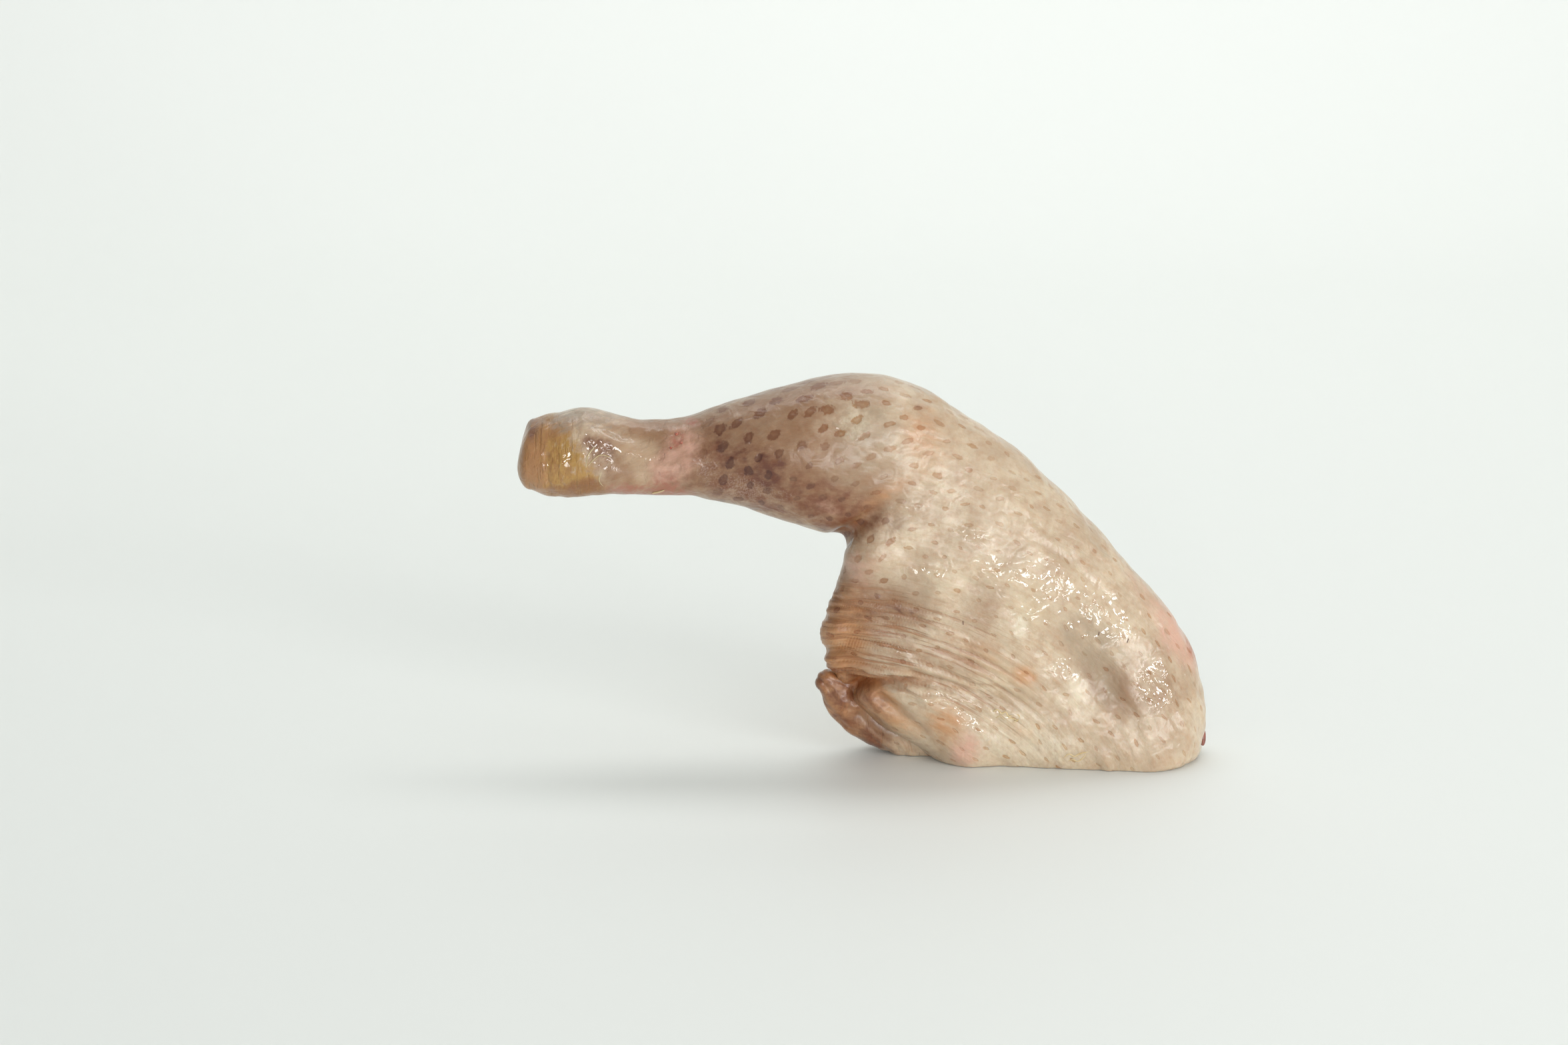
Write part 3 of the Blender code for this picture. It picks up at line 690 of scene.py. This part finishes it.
def wet_skin():
    """Raw chicken skin: pale fat seen through a wet translucent sheet, with brown feather pores.

    To the eye it is soft and waxy from light scattered below, with small sharp glints on its film of water,
    and its colour also holds painted shade and painted glints.
    """
    made, tree = new_material("raw chicken skin, wet")
    place = add(tree, "TexCoord", {}, 3)
    grain = add(tree, "Attribute", {}, 1, attribute_name="grain")
    names = (*ZONES, "hock", "end", "folds", "low", "pore_near")
    field = {name: add(tree, "Attribute", {}, 2, attribute_name=name) for name in names}

    # Cream fat and greyer, thinner skin change over by soft mottling, with grains of fat and long streaks.
    mottle = add(tree, "TexNoise", {"Vector": place, "Scale": per_mm(15), "Detail": 6.0, "Roughness": 0.62})
    share = add(tree, "MapRange", {"Value": mottle, "From Min": 0.37, "From Max": 0.63}, **SOFT_STEP)
    base = add(tree, "Mix", {0: share, 6: colour("CCBAA0"), 7: colour("B7A187")}, 2, **RGBA)
    fine = add(tree, "TexNoise", {"Vector": place, "Scale": per_mm(2.8), **ROUGH_NOISE})
    share = add(tree, "MapRange", {"Value": fine, "From Min": 0.46, "From Max": 0.70, "To Max": 0.50})
    base = add(tree, "Mix", {0: share, 6: base, 7: colour("AB8A6D")}, 2, **RGBA)
    streak_place = add(tree, "Mapping", {"Vector": grain, "Scale": (1 / 7, 1 / 1.5, 1 / 6)})
    streak = add(tree, "TexNoise", {"Vector": streak_place, "Scale": 1.0, **ROUGH_NOISE})
    share = add(tree, "MapRange", {"Value": streak, "From Min": 0.5, "From Max": 0.75, "To Max": 0.35})
    base = add(tree, "Mix", {0: share, 6: base, 7: colour("B68D66")}, 2, **RGBA)

    for name, size, stretch, broken, start, full, tint, strength in SKIN_LAYERS:
        scale = (1 / (size * stretch), 1 / size, 1 / size)
        patch_place = add(tree, "Mapping", {"Vector": grain, "Scale": scale})
        patches = add(tree, "TexNoise", {"Vector": patch_place, "Scale": 1.0, **ROUGH_NOISE})
        centred = add(tree, "Math", {0: patches, 1: 0.5}, operation="SUBTRACT")
        uneven = add(tree, "Math", {0: centred, 1: broken, 2: 1.0}, operation="MULTIPLY_ADD")
        value = add(tree, "Math", {0: field[name], 1: uneven}, operation="MULTIPLY")
        settings = {"Value": value, "From Min": start, "From Max": full, "To Max": strength}
        share = add(tree, "MapRange", settings, **SOFT_STEP)
        base = add(tree, "Mix", {0: share, 6: base, 7: colour(tint)}, 2, **RGBA)

    # Thin brown lines along the folds, and painted shade, a deep brown, where the relief lies low in the
    # folds' valleys and in creases.
    line_place = add(tree, "Mapping", {"Vector": grain, "Scale": (1 / 22, 1 / 1.3, 1 / 12)})
    lines = add(tree, "TexNoise", {"Vector": line_place, "Scale": 1.0, "Detail": 3.0, "Roughness": 0.5})
    lines = add(tree, "MapRange", {"Value": lines, "From Min": 0.51, "From Max": 0.66}, **SOFT_STEP)
    lines = add(tree, "Math", {0: lines, 1: field["folds"]}, operation="MULTIPLY")
    share = add(tree, "Math", {0: lines, 1: 0.75}, operation="MULTIPLY")
    base = add(tree, "Mix", {0: share, 6: base, 7: colour("96633B")}, 2, **RGBA)
    share = add(tree, "Math", {0: field["low"], 1: 0.62}, operation="MULTIPLY")
    base = add(tree, "Mix", {0: share, 6: base, 7: colour("945629")}, 2, **RGBA)

    # Feather pores: an oval with a frayed edge and a darker rim, in the place that the mesh gives it.
    pore = add(tree, "Attribute", {}, 1, attribute_name="pore")
    x, y, dark = (add(tree, "SeparateXYZ", {0: pore}, axis) for axis in range(3))
    flat = add(tree, "CombineXYZ", {0: x, 1: y})
    away = add(tree, "VectorMath", {0: flat}, 1, operation="LENGTH")
    frayed = add(tree, "TexNoise", {"Vector": place, "Scale": per_mm(1.3), "Detail": 4.0})
    away = add(tree, "Math", {0: frayed, 1: 1.3, 2: away}, operation="MULTIPLY_ADD")
    settings = {"Value": away, "From Min": 1.35, "From Max": 1.8, "To Min": 1.0, "To Max": 0.0}
    spot = add(tree, "MapRange", settings, **SOFT_STEP)
    settings = {"Value": field["pore_near"], "From Min": 1.1, "From Max": 1.3, "To Min": 1.0, "To Max": 0.0}
    held = add(tree, "MapRange", settings)
    settings = {"Value": away, "From Min": 0.7, "From Max": 1.4, "To Min": 0.72, "To Max": 1.0}
    rim = add(tree, "MapRange", settings)
    for factor in (held, rim):
        spot = add(tree, "Math", {0: spot, 1: factor}, operation="MULTIPLY")
    share = add(tree, "Math", {0: spot, 1: dark}, operation="MULTIPLY", use_clamp=True)
    # Pores are darker where the brown field is strong, and so also where that field paints shade.
    tint = add(tree, "Mix", {0: field["brown"], 6: colour("DDBB95"), 7: colour("A98576")}, 2, **RGBA)
    base = add(tree, "Mix", {0: share, 6: base, 7: tint}, 2, blend_type="MULTIPLY", **RGBA)

    # Creases round the hock's scaly skin, closer and more broken than the mesh could hold.
    ring_place = add(tree, "Mapping", {"Vector": place, "Scale": (per_mm(1.5), per_mm(9), per_mm(9))})
    ring = add(tree, "TexNoise", {"Vector": ring_place, "Scale": 1.0, "Detail": 3.0, "Roughness": 0.6})
    ring = add(tree, "MapRange", {"Value": ring, "From Min": 0.5, "From Max": 0.66})
    ring = add(tree, "Math", {0: ring, 1: field["hock"]}, operation="MULTIPLY")
    share = add(tree, "Math", {0: ring, 1: 0.5}, operation="MULTIPLY")
    base = add(tree, "Mix", {0: share, 6: base, 7: colour("946832")}, 2, **RGBA)

    # Relief too fine for the mesh: gooseflesh and streaks, and lines, pores and hock creases cut in.
    bumps = add(tree, "TexNoise", {"Vector": place, "Scale": per_mm(1.7), "Detail": 3.0, "Roughness": 0.55})
    normal = add(tree, "Bump", {"Height": bumps, "Strength": 0.5, "Distance": 0.4 * MM})
    normal = add(tree, "Bump", {"Height": streak, "Strength": 0.5, "Distance": 0.6 * MM, "Normal": normal})
    for cut, strength, depth in ((lines, 0.7, 0.4), (spot, 0.6, 0.2), (ring, 0.8, 0.3)):
        settings = {"Height": cut, "Strength": strength, "Distance": depth * MM, "Normal": normal}
        normal = add(tree, "Bump", settings, invert=True)

    # The film of water stands in small waves where the skin is crinkled, and lies thin in the creases.
    settings = {"Vector": place, "Scale": per_mm(5.0), "Detail": 1.2, "Roughness": 0.5, "Distortion": 1.0}
    film = add(tree, "TexNoise", settings)
    wavy = add(tree, "Math", {0: field["crinkle"], 1: 0.16, 2: 0.38}, operation="MULTIPLY_ADD")
    height = add(tree, "Math", {0: film, 1: wavy}, operation="MULTIPLY")
    settings = {"Height": height, "Strength": 0.4, "Distance": 1.6 * MM, "Normal": normal}
    normal = add(tree, "Bump", settings)
    film_normal = add(tree, "Bump", {"Height": height, "Strength": 1.0, "Distance": 1.6 * MM})
    film_share = add(tree, "Math", {0: field["low"], 1: -0.8, 2: 1.0}, operation="MULTIPLY_ADD")
    settings = {"Value": field["crinkle"], "From Min": 0.12, "From Max": 0.5, "To Min": 0.30, "To Max": 0.03}
    film_rough = add(tree, "MapRange", settings)
    settings = {"Value": mottle, "From Min": 0.3, "From Max": 0.7, "To Min": 0.46, "To Max": 0.6}
    rough = add(tree, "MapRange", settings)

    settings = {
        "Base Color": base,
        "Roughness": rough,
        "IOR": 1.4,
        "Specular IOR Level": 0.35,
        "Normal": normal,
        "Subsurface Weight": 0.35,
        "Subsurface Radius": (1.0, 0.45, 0.25),
        "Subsurface Scale": 2.2 * MM,
        "Coat Weight": film_share,
        "Coat Roughness": film_rough,
        "Coat IOR": 1.45,
        "Coat Normal": film_normal,
    }
    add(tree, "OutputMaterial", {"Surface": add(tree, "BsdfPrincipled", settings)})
    return made


def raw_meat():
    """Raw dark chicken meat: red muscle in fine bundles, with pale threads of sinew under a wet film."""
    made, tree = new_material("raw dark meat, wet")
    place = add(tree, "TexCoord", {}, 3)
    settings = {"Vector": place, "Rotation": (0.0, 0.8, 0.0), "Scale": (22 * MM, 6 * MM, 1.6 * MM)}
    along = add(tree, "Mapping", settings, vector_type="TEXTURE")
    fibre = add(tree, "TexNoise", {"Vector": along, "Scale": 1.0, "Detail": 5.0, "Roughness": 0.6})
    share = add(tree, "MapRange", {"Value": fibre, "From Min": 0.35, "From Max": 0.65}, **SOFT_STEP)
    base = add(tree, "Mix", {0: share, 6: colour("94594A"), 7: colour("6C3A2F")}, 2, **RGBA)
    settings = {"Value": fibre, "From Min": 0.66, "From Max": 0.78, "To Max": 0.7}
    share = add(tree, "MapRange", settings, **SOFT_STEP)
    base = add(tree, "Mix", {0: share, 6: base, 7: colour("D2B8A6")}, 2, **RGBA)
    sheath = add(tree, "TexNoise", {"Vector": place, "Scale": per_mm(16), "Distortion": 0.8, **ROUGH_NOISE})
    settings = {"Value": sheath, "From Min": 0.52, "From Max": 0.68, "To Max": 0.65}
    share = add(tree, "MapRange", settings, **SOFT_STEP)
    base = add(tree, "Mix", {0: share, 6: base, 7: colour("C9A08E")}, 2, **RGBA)
    settings = {
        "Base Color": base,
        "Roughness": 0.5,
        "IOR": 1.4,
        "Normal": add(tree, "Bump", {"Height": fibre, "Strength": 0.7, "Distance": 0.6 * MM}),
        "Subsurface Weight": 0.3,
        "Subsurface Radius": (1.0, 0.3, 0.2),
        "Subsurface Scale": 2.0 * MM,
        "Coat Weight": 0.8,
        "Coat Roughness": 0.1,
        "Coat IOR": 1.33,
    }
    add(tree, "OutputMaterial", {"Surface": add(tree, "BsdfPrincipled", settings)})
    return made


def smooth_tissue(name, tint, deeper, patch, roughness):
    """Wet tissue such as gristle, a shred of membrane or a quill's stub.

    It gives the eye a soft colour with deeper patches of so many millimetres, that light sinks into under a
    sharp glint of water.
    """
    made, tree = new_material(name)
    place = add(tree, "TexCoord", {}, 3)
    patches = add(tree, "TexNoise", {"Vector": place, "Scale": per_mm(patch), **ROUGH_NOISE})
    share = add(tree, "MapRange", {"Value": patches, "From Min": 0.42, "From Max": 0.68}, **SOFT_STEP)
    settings = {
        "Base Color": add(tree, "Mix", {0: share, 6: colour(tint), 7: colour(deeper)}, 2, **RGBA),
        "Roughness": roughness,
        "IOR": 1.4,
        "Normal": add(tree, "Bump", {"Height": patches, "Strength": 0.5, "Distance": 0.3 * MM}),
        "Subsurface Weight": 0.4,
        "Subsurface Radius": (1.0, 0.6, 0.4),
        "Subsurface Scale": 1.5 * MM,
        "Coat Weight": 1.0,
        "Coat Roughness": 0.05,
        "Coat IOR": 1.33,
    }
    add(tree, "OutputMaterial", {"Surface": add(tree, "BsdfPrincipled", settings)})
    return made


def skin_grid(sections, rings, outer_points, inner_points, start_dome, end_dome, is_leg):
    """The grid of a lofted skin with its forms and relief, and the fields of its points."""
    points, side = loft(sections, rings, outer_points, inner_points, start_dome, end_dome)
    a, b, d = points[..., 0], points[..., 1], points[..., 2]
    along, across = grain_of(a, b)
    folds, where = fold_field(a, b)
    if is_leg:
        height, valley = form_heights(points, side)
        relief = relief_of(points, side)
    else:
        height, valley = np.zeros(side.shape), np.zeros(side.shape)
        relief = flap_wrinkles(points)
        where = np.full(side.shape, 0.5)
        along, across = across, 0.6 * along + 1.5 * soft_noise(a / 6, b / 6, SEED + 16)
    moved = moved_out(moved_out(points, height), relief)
    fields = zone_fields(points)
    fields["grain"] = np.stack([along, across, d], axis=-1)
    fields["folds"] = where
    # How low a point lies in a fold's valley or a crease: the shader paints shade there and thins the film of
    # water.
    fields["low"] = np.maximum(ease(-folds, 0.0, 1.0), ease(valley, 1.2, 4.4))
    fields["hock"] = 1 - ease(a + HOCK_LEAN * (b - 98.0), *HOCK_EDGE)
    fields["end"] = np.maximum(1 - ease(a, *END_EDGE), 0.8 * hump(a, b, *END_CORNER))
    fields.update(pore_fields(moved, grid_normals(moved)))
    return moved, side, fields


def meat_grid(moved, side):
    """The bare meat of the inner side: a slab that stands clear inside the skin's edge, sunk beyond it."""
    bare = inside_the_cut(moved[..., 0], moved[..., 1])
    lift = MEAT_RISE * ease(bare, *MEAT_SLOPE) - MEAT_RIM
    columns = np.arange(LEG_OUTER_POINTS + 3, LEG_OUTER_POINTS + LEG_INNER_POINTS - 3)
    rows = np.nonzero((bare[:, columns] > -1.0).any(axis=1))[0]
    front = moved_out(moved, lift)[rows[0] : rows[-1]][:, columns]
    back = moved_out(moved, np.full(side.shape, -MEAT_BACK))[rows[0] : rows[-1]][:, columns[::-1]]
    return np.concatenate([front, back], axis=1)


def on_the_skin(moved, spots):
    """Points (a, b, d) on the leg's outer side at spots (a, b): the mean of the grid's near points there."""
    outer = moved[:, 5 : LEG_OUTER_POINTS - 5].reshape(-1, 3)
    gap = ((outer[:, None, :2] - spots[None]) ** 2).sum(axis=-1)
    weight = np.exp(-(gap - gap.min(axis=0)) / 0.8)
    depth = (weight * outer[:, 2:3]).sum(axis=0) / weight.sum(axis=0)
    return np.concatenate([spots, depth[:, None]], axis=1)


# Rings of a strand and points of a ring, on a thread and on what is thicker.
THREAD_GRID = (24, 10)
FINE_GRID = (48, 40)


def strand(path, radius, power):
    """A closed grid round a smooth path of points (a, b, d): at share s of its length the radius is
    radius * (1 - |2 s - 1|^power)^(1/power), so 2 gives an egg and 8 a thread with round ends."""
    rings, count = THREAD_GRID if radius < 2 else FINE_GRID
    places = np.linspace(0, len(path) - 1, rings)
    line = smooth_rows(np.asarray(path, dtype=float), places)
    ahead = unit(np.gradient(line, axis=0))
    aside = unit(np.cross(ahead, (0.0, 0.0, -1.0)))
    over = np.cross(aside, ahead)
    share = 1 - np.cos(np.linspace(0, np.pi, rings))
    if len(path) == 2:
        line = np.add(path[0], np.outer(share / 2, np.subtract(path[1], path[0])))
    wide = radius * np.maximum(1 - np.abs(share - 1) ** power, 0) ** (1 / power)
    turn = np.linspace(0, 2 * np.pi, count, endpoint=False)[None, :, None]
    ring = np.cos(turn) * aside[:, None] + np.sin(turn) * over[:, None]
    return line[:, None] + ring * wide[:, None, None]


def kept(piece, material, slot):
    """A closed piece turned outwards, given its material, and tied to the leg's one body; slot is not used.
    """
    facing_out(piece)
    piece.data.materials.append(material)
    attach(piece, "root")
    return piece


# The floor's front edge, where and in what radius it bends up, its half width and its top, in metres.
FLOOR_FRONT = -6.0
BEND_START = 0.9
BEND_RADIUS = 0.7
FLOOR_HALF = 5.0
BACKDROP_TOP = 5.0


def make_stage():
    """A floor that curves up into a backdrop: level, then a quarter turn, then upright."""
    turn = np.linspace(0, np.pi / 2, 24)
    y = np.concatenate([[FLOOR_FRONT], BEND_START + BEND_RADIUS * np.sin(turn), [BEND_START + BEND_RADIUS]])
    z = np.concatenate([[0.0], BEND_RADIUS * (1 - np.cos(turn)), [BACKDROP_TOP]])
    edges = [np.stack([np.full(len(y), x), y, z], axis=-1) for x in (-FLOOR_HALF, FLOOR_HALF)]
    index = np.arange(len(y) * 2).reshape(-1, 2)
    faces = np.stack([index[:-1, 0], index[:-1, 1], index[1:, 1], index[1:, 0]], -1)
    mesh = bpy.data.meshes.new("floor")
    mesh.from_pydata(np.stack(edges, axis=1).reshape(-1, 3), [], faces.tolist())
    mesh.shade_smooth()
    floor = bpy.data.objects.new("floor", mesh)
    bpy.context.collection.objects.link(floor)
    made, tree = new_material("matt white paper sweep")
    paper = add(tree, "BsdfPrincipled", {"Base Color": colour("EBEEEA"), "Roughness": 0.6, "IOR": 1.45})
    add(tree, "OutputMaterial", {"Surface": paper})
    mesh.materials.append(made)


# Soft white lights: name, place, what it points at, width and height in metres, and power in watts.
LIGHTS = (
    ("overhead", (0.2, 0.2, 1.7), (0.0, 0.0, 0.0), (1.6, 1.4), 3.6),
    ("key", (0.85, -1.3, 0.85), (0.0, 0.0, 0.06), (0.9, 0.8), 4.0),
    ("first glint", (0.20, -1.60, 0.14), (0.0, 0.0, 0.07), (0.34, 0.20), 3.4),
    ("second glint", (0.66, -1.46, 0.17), (0.0, 0.0, 0.07), (0.24, 0.18), 4.2),
    ("third glint", (1.10, -1.17, 0.24), (0.0, 0.0, 0.07), (0.24, 0.18), 4.2),
    ("fourth glint", (1.24, -0.98, 0.50), (0.0, 0.0, 0.07), (0.24, 0.18), 3.6),
    ("left glint", (-0.26, -1.55, 0.40), (-0.12, 0.0, 0.08), (0.20, 0.16), 2.4),
    ("backdrop", (0.0, 0.7, 2.2), (0.0, 1.6, 0.9), (2.5, 1.0), 25.4),
)
LENS_MM = 70.0
SENSOR_MM = 36.0
AIM = (-86.0, 87.2, 0.0)
CAMERA_DISTANCE = 1.052


def aimed(made, place, aim):
    """Puts an object at a place and turns its -Z axis to aim at a point."""
    made.location = place
    made.rotation_euler = (Vector(aim) - Vector(place)).to_track_quat("-Z", "Y").to_euler()
    bpy.context.collection.objects.link(made)
    return made


def make_lights():
    for name, place, aim, size, power in LIGHTS:
        lamp = bpy.data.lights.new(name, "AREA")
        lamp.shape = "RECTANGLE"
        lamp.size, lamp.size_y = size
        lamp.energy = power
        aimed(bpy.data.objects.new(name, lamp), place, aim)
    world = bpy.data.worlds.new("studio")
    world.use_nodes = True
    background = world.node_tree.nodes["Background"]
    background.inputs["Color"].default_value = colour("F6F8F8")
    background.inputs["Strength"].default_value = 0.38
    bpy.context.scene.world = world
    bpy.context.scene.view_settings.view_transform = "Standard"


def make_camera():
    """The photograph's view, square to the leg's plane: that leans back as far as the camera looks down."""
    c, s = np.cos(np.radians(LEAN)), np.sin(np.radians(LEAN))
    aim = in_the_world(np.array(AIM))
    place = aim - CAMERA_DISTANCE * np.array([0.0, c, -s])
    data = bpy.data.cameras.new("camera")
    data.lens = LENS_MM
    data.sensor_width = SENSOR_MM
    camera = aimed(bpy.data.objects.new("camera", data), place.tolist(), aim.tolist())
    bpy.context.scene.camera = camera


# Thin yellow wrinkles, part sunk in the outer skin: radius and path (a, b).
YELLOW_WRINKLES = (
    (0.34, ((-14.5, 21.6), (-12.6, 22.8), (-11.2, 21.4), (-9.6, 21.9), (-8.6, 20.4), (-6.4, 21.2))),
    (0.30, ((-13.2, 19.8), (-11.4, 20.6), (-10.0, 19.4), (-8.2, 19.8), (-5.6, 19.2))),
    (0.30, ((-6.4, 21.2), (-5.0, 20.6), (-5.4, 19.2), (-7.0, 18.6))),
    (0.34, ((10.6, 5.6), (12.4, 7.2), (14.4, 6.4), (16.4, 7.4), (19.4, 8.0))),
    (0.30, ((12.0, 4.4), (13.8, 5.2), (15.6, 4.6), (17.4, 5.8), (18.6, 7.6))),
)

# Strands on the outer skin: name, material, radius, how far they stand off it, and their path (a, b).
STRANDS = (
    ("torn_membrane_1", "membrane", 0.20, 0.05, ((-153.2, 105.8), (-152.6, 109.6), (-150.0, 113.2))),
    ("torn_membrane_2", "membrane", 0.17, 0.15, ((-152.8, 106.2), (-148.6, 110.0), (-144.6, 109.2))),
    ("torn_membrane_3", "membrane", 0.16, 0.05, ((-148.0, 104.5), (-148.8, 101.2), (-146.6, 98.8))),
    ("white_fibre", "membrane", 0.34, 0.6, ((-131.2, 97.2), (-129.0, 97.6), (-126.8, 98.3))),
    *(
        (f"yellow_wrinkle_{number}", "fat", radius, -0.12, path)
        for number, (radius, path) in enumerate(YELLOW_WRINKLES, 1)
    ),
    ("quill_stub_1", "quill", 0.14, 0.05, ((22.0, 48.4), (22.2, 49.8))),
    ("quill_stub_2", "quill", 0.14, 0.05, ((32.1, 45.7), (32.6, 47.2))),
    ("quill_stub_3", "quill", 0.14, 0.05, ((-24.8, 52.2), (-24.9, 53.6))),
    ("wet_bead_1", "bead", 0.50, 0.1, ((-123.0, 117.2), (-122.0, 117.4))),
    ("wet_bead_2", "bead", 0.45, 0.1, ((-121.2, 114.2), (-120.4, 114.4))),
    ("wet_bead_3", "bead", 0.40, 0.1, ((-124.8, 112.5), (-124.0, 112.6))),
)
# Other small pieces: name, material, radius, power of the strand, and its path (a, b, d).
SMALL_PIECES = (
    ("hip_joint", "gristle", 7.6, 2.0, ((23.4, 38.6, 29.4), (38.6, 38.6, 29.4))),
    ("meat_edge_1", "meat", 1.0, 4.0, ((60.9, 22.5, 22.0), (60.5, 28.0, 21.6), (59.4, 32.5, 21.2))),
    ("meat_edge_2", "meat", 0.9, 4.0, ((61.4, 8.5, 22.0), (61.7, 11.5, 22.0), (61.5, 14.5, 21.6))),
)

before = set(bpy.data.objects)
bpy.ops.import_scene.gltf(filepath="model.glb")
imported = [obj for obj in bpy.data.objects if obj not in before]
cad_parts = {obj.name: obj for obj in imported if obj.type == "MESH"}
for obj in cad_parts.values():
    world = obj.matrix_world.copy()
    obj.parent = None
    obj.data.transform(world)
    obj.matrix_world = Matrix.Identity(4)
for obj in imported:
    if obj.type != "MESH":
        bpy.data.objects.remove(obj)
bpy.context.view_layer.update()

skin = wet_skin()
meat = raw_meat()
materials = {
    "meat": meat,
    "gristle": smooth_tissue("wet gristle of the hip joint", "CDC4B8", "B58C80", 7.0, 0.35),
    "membrane": smooth_tissue("torn membrane", "C8B28C", "B0966C", 2.5, 0.5),
    "fat": smooth_tissue("wrinkled yellow skin", "D4BA90", "C2A272", 2.5, 0.45),
    "quill": smooth_tissue("stub of a quill", "5F3D32", "4A2C24", 1.0, 0.5),
    "bead": smooth_tissue("bead of blood and water", "A9664F", "964A3C", 1.0, 0.3),
}
slots = {"meat": "bare_flesh", "gristle": "joint_cartilage"}

leg_grid, leg_side, leg_fields = skin_grid(
    LEG, LEG_RINGS, LEG_OUTER_POINTS, LEG_INNER_POINTS, HOCK_DOME, HIP_DOME, True
)
flap_grid, _, flap_fields = skin_grid(
    FLAP, FLAP_RINGS, FLAP_OUTER_POINTS, FLAP_INNER_POINTS, FLAP_DOME, FLAP_DOME, False
)
leg = kept(surface("leg_skin", settled(in_the_world(leg_grid)), leg_fields), skin, "chicken_skin")
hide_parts("chicken_leg")
kept(surface("folded_flap", settled(in_the_world(flap_grid)), flap_fields), skin, "chicken_skin")
kept(surface("bare_meat", settled(in_the_world(meat_grid(leg_grid, leg_side))), {}), meat, "bare_flesh")
for name, kind, radius, off, path in STRANDS:
    spots = on_the_skin(leg_grid, np.array(path))
    grid = strand(spots - (0.0, 0.0, off), radius, 4.0)
    kept(surface(name, in_the_world(grid), {}), materials[kind], "chicken_skin")
for name, kind, radius, power, path in SMALL_PIECES:
    grid = strand(np.array(path), radius, power)
    kept(surface(name, settled(in_the_world(grid)), {}), materials[kind], slots[kind])

make_stage()
make_lights()
make_camera()
